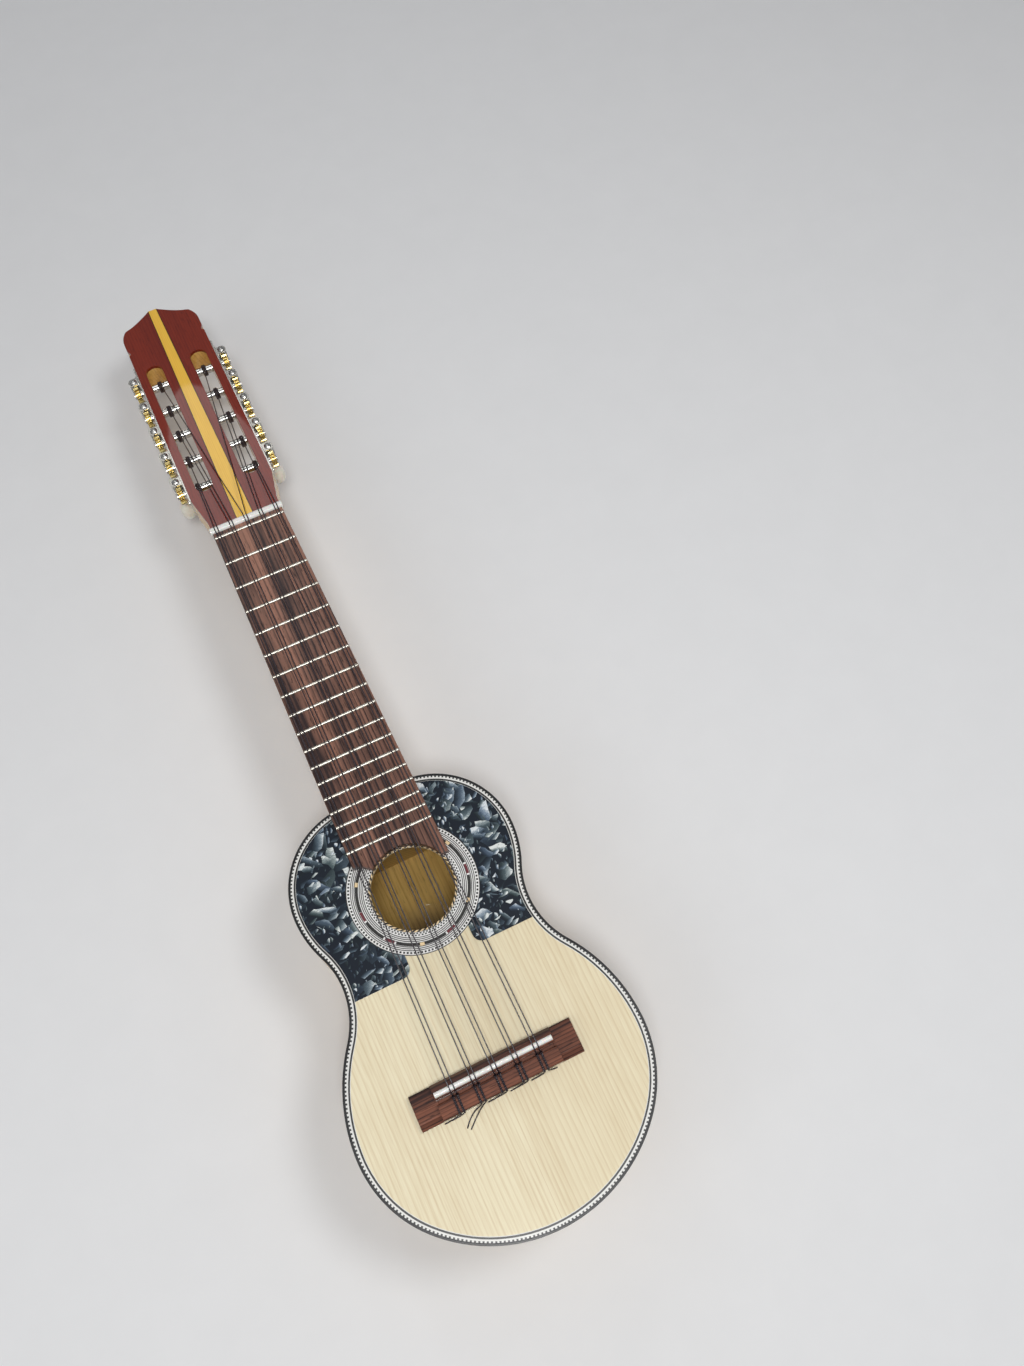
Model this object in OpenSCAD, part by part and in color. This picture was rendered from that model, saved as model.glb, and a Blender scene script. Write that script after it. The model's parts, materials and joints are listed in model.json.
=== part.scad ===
// Charango: a small ten-string, five-course plucked instrument with a slotted head.
// Frame: X across (treble side +), Y along the strings towards the head, Z out of the soundboard.
// The drawing frame has Y = 0 on the bridge line and Z = 0 on top of the frets; placed() moves it
// so that the origin is the middle of the footprint, on the surface the back lies on.

/* [Scale and neck] */
// String length from the zero fret to the bridge line
scale_len = 370; // [366:1:374]
// Neck width at the zero fret
nut_w = 48; // [47:0.5:49]
// Fingerboard width at the last fret
end_w = 54; // [53:0.5:55]
// Fingerboard thickness
board_t = 5.5; // [5:0.1:5.5]
// Number of frets after the zero fret
fret_count = 17; // [12:1:17]
// Neck depth below the fingerboard at the nut
neck_depth_nut = 16; // [15:0.5:17]
// Neck depth below the fingerboard at the body
neck_depth_body = 18; // [17:0.5:19]

/* [Body outline] */
// Widest part of the lower bout
lower_w = 170.6; // [169:0.2:172]
// Height of the lower bout's widest point on the bridge axis
lower_y = -14; // [-15:0.5:-13]
// Radius of the tail arc, centred on the bridge line
tail_r = 91; // [90:0.5:92]
// Radius of the flank above the widest point
flank_r = 95; // [93:1:97]
// Width at the waist
waist_w = 116.4; // [115:0.2:118]
// Radius of the waist
waist_r = 50; // [47:1:52]
// Widest part of the upper bout
upper_w = 137; // [136:0.5:138]
// Place of the upper bout's widest point
upper_y = 118; // [117:0.5:119]
// Radius of the shoulders
shoulder_r = 50; // [49:0.5:50]
// Depth of the body over its plates
body_depth = 80; // [74:1:84]

/* [Plates and ribs] */
// Soundboard thickness
top_t = 2.5; // [2.2:0.1:3]
// Back thickness
back_t = 3; // [2.5:0.1:3.5]
// Rib thickness
rib_t = 3; // [2.5:0.1:3.5]
// Width of the black edge binding
binding_w = 1.3; // [1:0.1:1.5]
// Height of the black edge binding
binding_h = 5; // [4:0.5:6]
// Width of the purfling band inside the binding
purfling_w = 3.2; // [3:0.1:3.4]
// Depth of the purfling and rosette channels
inlay_t = 1.2; // [1:0.1:1.4]

/* [Soundhole] */
// Soundhole radius
hole_r = 24.5; // [24:0.1:25]
// Outer radius of the rosette
rosette_r = 38.8; // [38:0.1:39]
// Distance of the soundhole's centre from the bridge line
hole_y = 105.6; // [105:0.1:106.5]
// Pickguard thickness
guard_t = 0.7; // [0.5:0.1:0.9]

/* [Bridge] */
// Bridge length across the soundboard
bridge_w = 96; // [94:1:98]
// Bridge width along the strings
bridge_d = 19.6; // [19:0.1:20]
// Height of the saddle's top above the soundboard
saddle_h = 10; // [9.8:0.1:10.2]

/* [Strings] */
// String radius
string_r = 0.35; // [0.3:0.01:0.4]
// Distance between courses at the bridge
course_bridge = 12.4; // [12:0.1:12.6]
// Distance between courses at the nut
course_nut = 10.3; // [10:0.1:10.5]

/* [Head] */
// Angle that the head leans back
head_angle = 6; // [5:0.5:7]
// Length of the head along its face, from the zero fret
head_len = 224; // [222:1:226]
// Width of the head between the tuner plates
head_w = 57.2; // [57:0.1:57.6]
// Thickness of the head under its face plate
head_t = 18; // [17:0.5:18]
// Thickness of the face plate
face_t = 2.2; // [2:0.1:2.4]
// Width of each string slot
slot_w = 12; // [11.6:0.1:12.2]

/* [Tuners] */
// Distance between string rollers
roller_pitch = 25.4; // [25.2:0.1:25.5]
// Teeth on each gear wheel
gear_teeth = 14; // [14:1:14]
// Gear module
gear_module = 0.75; // [0.75:0.05:0.75]
// Gear thickness
gear_t = 3.6; // [3.2:0.1:3.6]
// Length of each button
button_l = 17; // [16:0.5:18]
// Largest radius of each button
button_r = 5.2; // [4.8:0.1:5.4]

/* [Hidden] */
$fn = 64;
SIDES = [["bass", -1], ["treble", 1]];
TUNERS = [for (side = SIDES, k = [0:4]) [str(side[0], "_", k + 1), side[1], k]];

// Levels on the Z axis, with the fret tops at zero
fret_h = 1;
board_top = -fret_h;
deck = board_top - board_t;
top_under = deck - top_t;
floor_z = deck - body_depth;
back_top = floor_z + back_t;

// Outline of one half of the body: six tangent arcs, tail to shoulder
tail_c = [0, 0];
belly_r = (tail_r^2 - (lower_w / 2)^2 - lower_y^2) / (2 * tail_r - lower_w);
belly_c = [lower_w / 2 - belly_r, lower_y];
flank_c = [lower_w / 2 - flank_r, lower_y];
waist_x = waist_w / 2 + waist_r;
waist_c = [waist_x, lower_y + sqrt((flank_r + waist_r)^2 - (waist_x - flank_c.x)^2)];
waist_dx = waist_x - upper_w / 2;
waist_dy = upper_y - waist_c.y;
chest_r = (waist_dx^2 + waist_dy^2 - waist_r^2) / (2 * (waist_r - waist_dx));
chest_c = [upper_w / 2 - chest_r, upper_y];
shoulder_c = [upper_w / 2 - shoulder_r, upper_y];
body_top = upper_y + shoulder_r;
tail_turn = atan2(belly_c.y, belly_c.x);
flank_turn = atan2(waist_c.y - flank_c.y, waist_c.x - flank_c.x);
chest_turn = atan2(waist_c.y - chest_c.y, waist_c.x - chest_c.x);
// Each arc: centre, radius, first and last angle on the way to the head, +1 out or -1 in
ARCS = [
    [tail_c, tail_r, -90, tail_turn, 1],
    [belly_c, belly_r, tail_turn, 0, 1],
    [flank_c, flank_r, 0, flank_turn, 1],
    [waist_c, waist_r, flank_turn + 180, chest_turn + 180, -1],
    [chest_c, chest_r, chest_turn, 0, 1],
    [shoulder_c, shoulder_r, 0, 90, 1]];
ARC_STEP = 3;
function polar(r, a) = [r * cos(a), r * sin(a)];

// Points of the treble half of the outline, inset by a distance, from the tail to the neck
function half_points(inset) = concat(
    [for (arc = ARCS)
        let (turn = arc[3] - arc[2], n = ceil(abs(turn) / ARC_STEP), r = arc[1] - arc[4] * inset)
        for (i = [0:n - 1]) arc[0] + polar(r, arc[2] + turn * i / n)],
    [[shoulder_c.x, body_top - inset], [0, body_top - inset]]);
function flipped(points) = [for (i = [len(points) - 1:-1:0]) [-points[i].x, points[i].y]];
function reversed(points) = [for (i = [len(points) - 1:-1:0]) points[i]];

// Where the whole instrument sits
tip_y = scale_len + head_len * cos(head_angle);
mid_y = (tip_y - tail_r) / 2;

// Head frame: X across, Y along the face from the zero fret, Z out of the face
face_z = -4.2;
slot_x = 16.6;
slot_low = 43.4;
slot_high = 169.4;
roller_first = 54.7;
roller_z = -8.5;
web_x = slot_x - slot_w / 2;
wall_x = slot_x + slot_w / 2;
head_hw = head_w / 2;
strip_low_w = 11;
strip_high_w = 5.8;
bend_r = 18;
bend_turn = acos(1 - 4.2 / bend_r);
strip_line_w = 0.5;

// Tuner sizes
plate_t = 1.1;
plate_x = head_hw + plate_t;
plate_low_z = -15;
plate_high_z = -2.5;
gear_x = plate_x + 3.7;
gear_r = gear_teeth * gear_module / 2;
worm_r = 2.55;
worm_dy = gear_r + worm_r;
worm_pitch = PI * gear_module;
worm_turns = 3;
worm_lead = atan(worm_pitch / (2 * PI * worm_r));
tooth_out = 0.62;
tooth_in = 0.78;
flank_gap = 0.12;
shaft_r = 1.5;
running = 0.04;
journal_r = 2.6;
pivot_r = 2;
pivot_l = 4.4;
barrel_r = 3;
winding_r = 4.2;
winding_out = 20.6;
winding_step = 1;
winding_hw = 1.7;
lug_t = 1.2;
lug_hw = 3.4;
lug_out = 3.7;
lug_z = [-14.4, -3.8];
button_top = -23;
shaft_low = button_top - 11.9;
shaft_high = -1.6;
fit_gap = 0.02;
drive_hw = 1.6;
gear_screw_r = 0.9;
screw_ys = [46, roller_first + 0.6 * roller_pitch, roller_first + 2.6 * roller_pitch, 172];
screw_z = -8.5;
screw_r = 1.2;
screw_l = 5;

// Bridge sizes, with Z counted from the soundboard
bridge_front = 1.8;
bridge_back = bridge_front - bridge_d;
wing_h = 4.2;
core_hw = 35.4;
ridge_h = 7.8;
tie_h = 7.4;
tie_front = -9;
channel_h = 3.4;
saddle_y = -4;
saddle_t = 3;
saddle_hw = 34.8;
ridge_back = saddle_y - 2.4;
hole_h = 4.6;

// Strings: one entry each, pairs from the bass side
pair_bridge = 2.5;
pair_nut = 2;
STRINGS = [for (c = [-2:2], p = [-1, 1]) [c, p]];
action = saddle_h + deck;
nut_front = scale_len + 4;
nut_t = 5;
nut_w_full = nut_w + 2;
nut_back = nut_front + nut_t;
head_low = 8.6;

// Inside the body, with Z sizes taken from the plates
lining_w = 5;
lining_h = 9;
block_hw = 27;
block_d = 24;
tail_block_hw = 20;
tail_block_d = 16;
bar_w = 6;
bar_h = 9;
bar_ys = [hole_y + hole_r + 4, hole_y - hole_r - 12];
fan_xs = [-34, 0, 34];
fan_w = 4;
fan_h = 5;
back_bar_ys = [66, 10, -48];
back_bar_w = 8;
back_bar_h = 11;
patch_t = 2;
patch_w = 106;
patch_d = 26;
beyond = 100;

// Pickguards
guard_low = 60.6;
guard_in = 19.6;
guard_corner = 5.5;

// Fingerboard and frets
last_fret_y = scale_len * pow(2, -fret_count / 12);
tongue_y = 115.6;
bass_cut = [[-40, 131.8], [-22, 128.8], [-17, 124.8], [-17, 90], [-40, 90]];
tang_w = 0.6;
tang_h = 2;
crown_w = 2.2;
crown_r = (crown_w^2 / 4 + fret_h^2) / (2 * fret_h);

// Neck and heel
root_y = body_top - 2;
heel_y = 52;
heel_r = 38;
cheek_r = 59;
heel_low = floor_z + 10;
heel_top = deck - 4;
heel_back = deck - neck_depth_body + 1 - heel_r;

// Nut and string sections
nut_top = 0.55;
nut_round = 2.2;
string_gap = 0.03;
string_nut_z = string_r + string_gap;
STRING_SIDES = 8;
WORM_STEPS = 16;

module placed() {
    translate([0, -mid_y, -floor_z]) children();
}

module head_frame() {
    translate([0, scale_len, face_z]) rotate([-head_angle, 0, 0]) children();
}

// Along X, from x0 to x1, at a given Y and Z
module rod_x(x0, x1, r) {
    translate([x0, 0, 0]) rotate([0, 90, 0]) cylinder(h = x1 - x0, r = r);
}

module on_side(s) {
    mirror([s < 0 ? 1 : 0, 0, 0]) children();
}

// ---- body ----

// The body's plan, inset by a distance
module plan(inset) {
    half = half_points(inset);
    polygon(concat(half, flipped([for (i = [1:len(half) - 2]) half[i]])));
}

// A band that follows the outline, between two insets
module band(inset_out, inset_in, h) {
    linear_extrude(h) difference() {
        plan(inset_out);
        plan(inset_in);
    }
}

module half_band(inset_out, inset_in, h) {
    linear_extrude(h) polygon(concat(half_points(inset_out), reversed(half_points(inset_in))));
}

module soundboard() {
    color("wheat") difference() {
        translate([0, 0, top_under]) linear_extrude(top_t) plan(binding_w);
        translate([0, hole_y, top_under - 1]) cylinder(h = top_t + 2, r = hole_r);
        translate([0, hole_y, deck - inlay_t]) cylinder(h = inlay_t + 1, r = rosette_r);
        translate([0, 0, deck - inlay_t]) band(binding_w - 0.5, binding_w + purfling_w, inlay_t + 1);
    }
}

module back() {
    color("goldenrod") translate([0, 0, floor_z]) linear_extrude(back_t) plan(0);
}

module rib(s) {
    rebate = deck - binding_h;
    color("goldenrod") on_side(s) {
        translate([0, 0, back_top]) half_band(0, rib_t, rebate - back_top);
        translate([0, 0, rebate]) half_band(binding_w, rib_t, top_under - rebate);
    }
}

module block_space(hw, y0, y1) {
    translate([-hw, y0, back_top]) cube([2 * hw, y1 - y0, top_under - back_top]);
}

module linings() {
    color("burlywood") difference() {
        for (z = [back_top, top_under - lining_h])
            translate([0, 0, z]) band(rib_t, rib_t + lining_w, lining_h);
        block_space(block_hw, body_top - block_d, body_top);
        block_space(tail_block_hw, -tail_r, tail_block_d - tail_r);
    }
}

module neck_block() {
    color("burlywood") intersection() {
        block_space(block_hw, body_top - block_d, body_top);
        translate([0, 0, back_top]) linear_extrude(top_under - back_top) plan(rib_t);
    }
}

module tail_block() {
    color("burlywood") intersection() {
        block_space(tail_block_hw, -tail_r, tail_block_d - tail_r);
        translate([0, 0, back_top]) linear_extrude(top_under - back_top) plan(rib_t);
    }
}

module top_braces() {
    color("wheat") intersection() {
        union() {
            for (y = bar_ys)
                translate([-beyond, y, top_under - bar_h]) cube([2 * beyond, bar_w, bar_h]);
            for (x = fan_xs)
                translate([x - fan_w / 2, bridge_front + 5, top_under - fan_h])
                    cube([fan_w, bar_ys[1] - bridge_front - 6, fan_h]);
        }
        translate([0, 0, top_under - bar_h - 1]) linear_extrude(bar_h + 1) plan(rib_t + lining_w);
    }
}

module back_braces() {
    color("burlywood") intersection() {
        for (y = back_bar_ys)
            translate([-beyond, y, back_top]) cube([2 * beyond, back_bar_w, back_bar_h]);
        translate([0, 0, back_top]) linear_extrude(back_bar_h + 1) plan(rib_t + lining_w);
    }
}

module bridge_patch() {
    color("wheat") translate([-patch_w / 2, bridge_back - 3, top_under - patch_t])
        cube([patch_w, patch_d, patch_t]);
}

module binding() {
    color([0.05, 0.05, 0.05]) translate([0, 0, deck - binding_h]) band(0, binding_w, binding_h);
}

module purfling() {
    color("gainsboro") translate([0, 0, deck - inlay_t])
        band(binding_w, binding_w + purfling_w, inlay_t);
}

module rosette() {
    color("silver") translate([0, hole_y, deck - inlay_t]) difference() {
        cylinder(h = inlay_t, r = rosette_r);
        translate([0, 0, -1]) cylinder(h = inlay_t + 2, r = hole_r);
    }
}

module pickguard(s) {
    color([0.12, 0.14, 0.18]) on_side(s) translate([0, 0, deck]) linear_extrude(guard_t)
        difference() {
            intersection() {
                polygon(half_points(binding_w + purfling_w));
                union() {
                    translate([guard_in + guard_corner, guard_low]) square([80, body_top]);
                    translate([guard_in, guard_low + guard_corner]) square([80, body_top]);
                    translate([guard_in + guard_corner, guard_low + guard_corner])
                        circle(r = guard_corner);
                }
            }
            translate([0, hole_y]) circle(r = rosette_r);
            board_outline(0.1);
        }
}

// ---- neck and fingerboard ----

function board_hw(y) =
    (nut_w + (end_w - nut_w) * (scale_len - y) / (scale_len - last_fret_y)) / 2;

// Trapezium of the fingerboard, grown by a small margin
module board_outline(grow) {
    polygon([
        [-board_hw(tongue_y) - grow, tongue_y - grow], [board_hw(tongue_y) + grow, tongue_y - grow],
        [board_hw(nut_front) + grow, nut_front], [-board_hw(nut_front) - grow, nut_front]]);
}

module fret_at(n, extra) {
    y = scale_len * pow(2, -n / 12);
    hw = board_hw(y) - 0.4 + extra;
    translate([-hw, y, 0]) rotate([90, 0, 90]) linear_extrude(2 * hw) children();
}

module tang_profile() {
    translate([-tang_w / 2, board_top - tang_h]) square([tang_w, tang_h + 0.3]);
}

module frets() {
    color("lightgray") for (n = [0:fret_count]) fret_at(n, 0) {
        tang_profile();
        intersection() {
            translate([0, -crown_r]) circle(r = crown_r);
            translate([-crown_w, board_top]) square([2 * crown_w, fret_h + 1]);
        }
    }
}

module fingerboard() {
    color([0.3, 0.2, 0.18]) difference() {
        translate([0, 0, deck]) linear_extrude(board_t) difference() {
            board_outline(0);
            translate([0, hole_y]) circle(r = hole_r + 0.4);
            polygon(bass_cut);
        }
        for (n = [0:fret_count]) fret_at(n, 1) tang_profile();
    }
}

// The neck's back is a tapering round, with a straight edge under the fingerboard
module neck_shaft() {
    edge = 3;
    hw_root = board_hw(body_top);
    r_nut = (nut_w^2 / 4 + (neck_depth_nut - edge)^2) / (2 * (neck_depth_nut - edge));
    r_root = (hw_root^2 + (neck_depth_body - edge)^2) / (2 * (neck_depth_body - edge));
    z_nut = deck - neck_depth_nut + r_nut;
    z_root = deck - neck_depth_body + r_root;
    run = nut_back - root_y;
    intersection() {
        translate([0, root_y, z_root]) rotate([-90 + atan((z_nut - z_root) / run), 0, 0])
            cylinder(h = run + 2, r1 = r_root, r2 = r_nut);
        translate([0, 0, deck - beyond]) linear_extrude(beyond) polygon([
            [-hw_root, root_y], [hw_root, root_y],
            [board_hw(nut_back), nut_back], [-board_hw(nut_back), nut_back]]);
    }
}

// Side shape of the heel: a deep block with a round hollow behind the shaft
module heel_side() {
    difference() {
        translate([root_y, heel_low]) square([body_top + heel_y - root_y, heel_top - heel_low]);
        translate([body_top + heel_y, heel_back]) circle(r = heel_r);
        translate([body_top + heel_y - heel_r, heel_low - 1])
            square([heel_r + 1, heel_back + 1 - heel_low]);
    }
}

// Cross-section of the heel: wide under the shaft, narrowing to the cap
module heel_front() {
    hw = board_hw(body_top) + 1;
    bend_hw = hw - 6;
    cap_hw = 10;
    for (s = [-1, 1]) on_side(s) polygon([
        [0, heel_top], [hw, heel_top], [hw, heel_top - 12], [bend_hw, heel_top - 30],
        [cap_hw + 4, heel_low + 4], [cap_hw, heel_low], [0, heel_low]]);
}

// One rounded side of the heel, closing in under the shaft towards the front
module heel_cheek(s) {
    hw = board_hw(body_top) - 0.4;
    translate([s * (hw - cheek_r), body_top + 6, heel_low - 1])
        cylinder(h = heel_top - heel_low + 2, r = cheek_r);
}

module heel() {
    intersection() {
        heel_cheek(-1);
        heel_cheek(1);
        translate([-beyond, 0, 0]) rotate([90, 0, 90]) linear_extrude(2 * beyond) heel_side();
        translate([0, body_top + heel_y, 0]) rotate([90, 0, 0]) linear_extrude(heel_y + 2)
            heel_front();
    }
}

// Head outline on its face
module head_outline() {
    root_hw = board_hw(nut_back);
    corner = [head_hw - 4.2, head_len - 12.4];
    top_edge = [head_hw - 6.3, head_len - 11.4];
    notch_y = head_len - 35.6;
    bend_y = corner.y - bend_r * sin(bend_turn);
    tip_hw = strip_high_w / 2;
    tip_steps = 10;
    for (s = [-1, 1]) on_side(s) difference() {
        polygon(concat(
            [[0, head_low], [root_hw, head_low], [root_hw + 0.3, 17], [head_hw, 39]],
            [for (i = [0:tip_steps])
                [head_hw - bend_r, bend_y] + polar(bend_r, bend_turn * i / tip_steps)],
            [for (i = [0:tip_steps]) [lerp(top_edge.x, tip_hw, i / tip_steps),
                lerp(top_edge.y, head_len, pow(i / tip_steps, 1.3))]],
            [[0, head_len]]));
        polygon([[head_hw + 1, notch_y + 6.5], [head_hw - 1.7, notch_y], [head_hw + 1, notch_y - 3]]);
    }
}

// Keeps the plate on the head's face clear of the nut and of the neck's shaft
module face_cut() {
    difference() {
        head_frame() children();
        translate([-beyond, 0, -beyond]) cube([2 * beyond, nut_back, 2 * beyond]);
    }
}

module slots() {
    for (s = [-1, 1]) translate([s * slot_x, 0]) {
        for (y = [slot_low + slot_w / 2, slot_high - slot_w / 2]) translate([0, y]) circle(d = slot_w);
        translate([-slot_w / 2, slot_low + slot_w / 2])
            square([slot_w, slot_high - slot_low - slot_w]);
    }
}

module strip_shape(grow) {
    low_hw = strip_low_w / 2 + grow;
    high_hw = strip_high_w / 2 + grow;
    polygon([[-low_hw, head_low], [low_hw, head_low], [high_hw, head_len], [-high_hw, head_len]]);
}

function roller_y(k) = roller_first + k * roller_pitch;

module roller_bores() {
    for (side = SIDES, k = [0:4]) on_side(side[1]) translate([0, roller_y(k), roller_z]) {
        rod_x(web_x - pivot_l - 0.2, slot_x, pivot_r + running);
        rod_x(slot_x, head_hw + 1, journal_r + running);
    }
}

module screw_holes() {
    for (side = SIDES, y = screw_ys) on_side(side[1]) translate([0, y, screw_z])
        rod_x(head_hw - screw_l, head_hw + 1, screw_r);
}

module neck() {
    color("goldenrod") {
        difference() {
            union() {
                neck_shaft();
                heel();
            }
            translate([0, 0, floor_z]) linear_extrude(body_depth + 1) plan(0);
        }
        head_frame() difference() {
            translate([0, 0, -face_t - head_t]) linear_extrude(head_t) difference() {
                head_outline();
                slots();
            }
            roller_bores();
            screw_holes();
        }
    }
}

module head_face() {
    color([0.42, 0.1, 0.07]) face_cut() translate([0, 0, -face_t]) linear_extrude(face_t)
        difference() {
            head_outline();
            slots();
            strip_shape(strip_line_w);
        }
}

module head_strip() {
    color([0.95, 0.78, 0.3]) face_cut() translate([0, 0, -face_t])
        linear_extrude(face_t) strip_shape(0);
}

module head_strip_lines() {
    color([0.1, 0.07, 0.05]) face_cut() translate([0, 0, -face_t]) linear_extrude(face_t)
        difference() {
            strip_shape(strip_line_w);
            strip_shape(0);
        }
}

module nut() {
    color("ivory") difference() {
        translate([-nut_w_full / 2, nut_front, 0]) rotate([90, 0, 90]) linear_extrude(nut_w_full) {
            translate([0, deck]) square([nut_t, nut_top - deck - nut_round]);
            for (y = [nut_round, nut_t - nut_round])
                translate([y, nut_top - nut_round]) circle(r = nut_round);
            translate([nut_round, nut_top - 2 * nut_round])
                square([nut_t - 2 * nut_round, 2 * nut_round]);
        }
        for (st = STRINGS) translate([nut_x(st), nut_front - 1, string_nut_z])
            rotate([-90, 0, 0]) cylinder(h = nut_t + 2, r = string_r + 0.05);
    }
}

// ---- bridge ----

function bridge_x(st) = st[0] * course_bridge + st[1] * pair_bridge / 2;
function nut_x(st) = st[0] * course_nut + st[1] * pair_nut / 2;

module bridge() {
    color([0.33, 0.18, 0.13]) translate([0, 0, deck]) difference() {
        union() {
            for (s = [-1, 1]) on_side(s)
                translate([core_hw - 1, 0, 0]) rotate([90, 0, 90])
                    linear_extrude(bridge_w / 2 - core_hw + 1) polygon([
                        [bridge_back, 0], [bridge_front, 0], [bridge_front, wing_h - 1],
                        [bridge_front - 1.2, wing_h], [bridge_back + 4, wing_h],
                        [bridge_back, wing_h - 1.6]]);
            translate([-core_hw, 0, 0]) rotate([90, 0, 90]) linear_extrude(2 * core_hw) polygon([
                [bridge_back, 0], [bridge_front, 0], [bridge_front, ridge_h - 1.8],
                [bridge_front - 1.6, ridge_h], [ridge_back + 0.7, ridge_h],
                [ridge_back, ridge_h - 0.7], [ridge_back, channel_h], [tie_front, channel_h],
                [tie_front, tie_h - 0.5], [tie_front - 0.5, tie_h],
                [bridge_back + 0.8, tie_h], [bridge_back, tie_h - 0.8]]);
        }
        translate([-saddle_hw, saddle_y - saddle_t / 2, channel_h])
            cube([2 * saddle_hw, saddle_t, ridge_h]);
        for (st = STRINGS) translate([bridge_x(st), bridge_back - 1, hole_h]) rotate([-90, 0, 0])
            cylinder(h = tie_front - bridge_back + 2, r = string_r + 0.25);
    }
}

module saddle() {
    crown = saddle_t / 2;
    color("ivory") translate([-saddle_hw, saddle_y, deck]) rotate([90, 0, 90])
        linear_extrude(2 * saddle_hw) {
            translate([-crown, channel_h]) square([saddle_t, saddle_h - crown - channel_h]);
            translate([0, saddle_h - crown]) circle(r = crown);
        }
}

// ---- strings ----

// A string's roller: bass strings count from the outside in, so do treble strings
function on_bass(i) = i < 5;
function roller_of(i) = on_bass(i) ? i : 9 - i;
function side_of(i) = on_bass(i) ? -1 : 1;
function in_head(p) = [p.x, scale_len + p.y * cos(head_angle) + p.z * sin(head_angle),
    face_z - p.y * sin(head_angle) + p.z * cos(head_angle)];
function lerp(a, b, t) = a + (b - a) * t;

function winding_x(k) = winding_out - k * winding_step;

// Where the rounded lower end of a slot stands at a given distance across
function slot_edge(x) =
    slot_low + slot_w / 2 - sqrt(max(0, (slot_w / 2)^2 - (x - slot_x)^2)) + 0.3;

// From the nut to the top of the winding, in the head frame, over the edge of the slot
function head_run(i) =
    let (y0 = nut_back - scale_len,
         z0 = string_nut_z - face_z + y0 * sin(head_angle),
         x0 = abs(nut_x(STRINGS[i])),
         x1 = winding_x(roller_of(i)),
         y1 = roller_y(roller_of(i)),
         z1 = roller_z + winding_r + string_r + string_gap,
         crossing = x0 < web_x ? (web_x - x0) / (x1 - x0) : 0,
         slot_t = (slot_edge(lerp(x0, x1, (slot_low + 2 - y0) / (y1 - y0))) - y0) / (y1 - y0),
         edge_t = max(slot_t, crossing),
         edge_z = max(lerp(z0, z1, edge_t), string_r + 0.1))
    [[x0, y0, z0], [lerp(x0, x1, edge_t), lerp(y0, y1, edge_t), edge_z],
     [x1, y1, z1]];

// The tie: through the hole, up behind the block, over its top and down in front
function tie_run(x) =
    let (r = string_r + string_gap, lift = 1.2,
         hole_z = deck + hole_h,
         over_z = deck + tie_h + r)
    [[x - 1.1, tie_front + r, over_z - lift], [x - 1, tie_front - 0.2, over_z],
     [x - 0.6, bridge_back + 0.4, over_z], [x - 0.4, bridge_back - 0.5, over_z - lift],
     [x - 0.1, bridge_back - 0.5, hole_z + 0.5], [x, bridge_back - 0.1, hole_z],
     [x, tie_front + 0.3, hole_z]];

function string_path(i) =
    let (st = STRINGS[i], xb = bridge_x(st), xn = nut_x(st), s = side_of(i),
         top_z = action + string_r + string_gap)
    concat(tie_run(xb),
        [[xb, saddle_y - 1.1, top_z - 0.4], [xb, saddle_y, top_z], [xn, scale_len, string_nut_z]],
        [for (p = head_run(i)) in_head([s * p.x, p.y, p.z])]);

function unit(v) = v / norm(v);

// Rings along a path, each square to the bisector of its two stretches
function sweep_rings(path, r) =
    let (n = len(path))
    [for (i = [0:n - 1])
        let (before = unit(path[max(i, 1)] - path[max(i, 1) - 1]),
             after = unit(path[min(i, n - 2) + 1] - path[min(i, n - 2)]),
             t = unit(before + after),
             u = unit(cross([1, 0, 0], t)),
             v = cross(t, u))
        for (k = [0:STRING_SIDES - 1])
            path[i] + r * cos(k * 360 / STRING_SIDES) * u
                + r * sin(k * 360 / STRING_SIDES) * v];

module tube(path, r) {
    n = len(path);
    m = STRING_SIDES;
    sides = [for (i = [0:n - 2], k = [0:m - 1])
        let (a = i * m + k, b = i * m + (k + 1) % m)
        for (tri = [[a, b + m, b], [a, a + m, b + m]]) tri];
    first = [for (k = [1:m - 2]) [0, k, k + 1]];
    last = [for (k = [1:m - 2]) [(n - 1) * m, (n - 1) * m + k + 1, (n - 1) * m + k]];
    polyhedron(points = sweep_rings(path, r), faces = concat(sides, first, last));
}

module strings() {
    color([0.1, 0.08, 0.1]) for (i = [0:9]) tube(string_path(i), string_r);
}

// ---- tuners ----

module tuner_plate(s) {
    h = plate_high_z - plate_low_z;
    y0 = screw_ys[0] - 4;
    y1 = screw_ys[3] + 4;
    color("silver") head_frame() on_side(s) difference() {
        union() {
            translate([head_hw, y0, plate_low_z]) cube([plate_t, y1 - y0, h]);
            for (k = [0:4], z = lug_z) translate([plate_x - 0.2, roller_y(k) + worm_dy, z]) {
                translate([0, -lug_hw, 0]) cube([lug_out + 0.2, 2 * lug_hw, lug_t]);
                translate([lug_out + 0.2, 0, 0]) cylinder(h = lug_t, r = lug_hw);
            }
        }
        for (k = [0:4]) {
            translate([0, roller_y(k), roller_z]) rod_x(head_hw - 1, plate_x + 1, journal_r + running);
            translate([gear_x, roller_y(k) + worm_dy, plate_low_z - 1])
                cylinder(h = h + 2, r = shaft_r + running);
        }
        for (y = screw_ys) translate([0, y, screw_z]) rod_x(head_hw - 1, plate_x + 1, screw_r + 0.2);
    }
}

module plate_screws() {
    color("silver") head_frame() for (side = SIDES, y = screw_ys) on_side(side[1])
        translate([0, y, screw_z]) difference() {
            union() {
                rod_x(head_hw - screw_l, plate_x + 0.5, screw_r);
                rod_x(plate_x, plate_x + 0.9, 2.1);
            }
            translate([plate_x + 0.5, -0.25, -3]) cube([1, 0.5, 6]);
        }
}

// Angle that a gear stands at, so that a tooth space faces the worm's thread at rest
function gear_phase() = 90 + 180 / gear_teeth;

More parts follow.
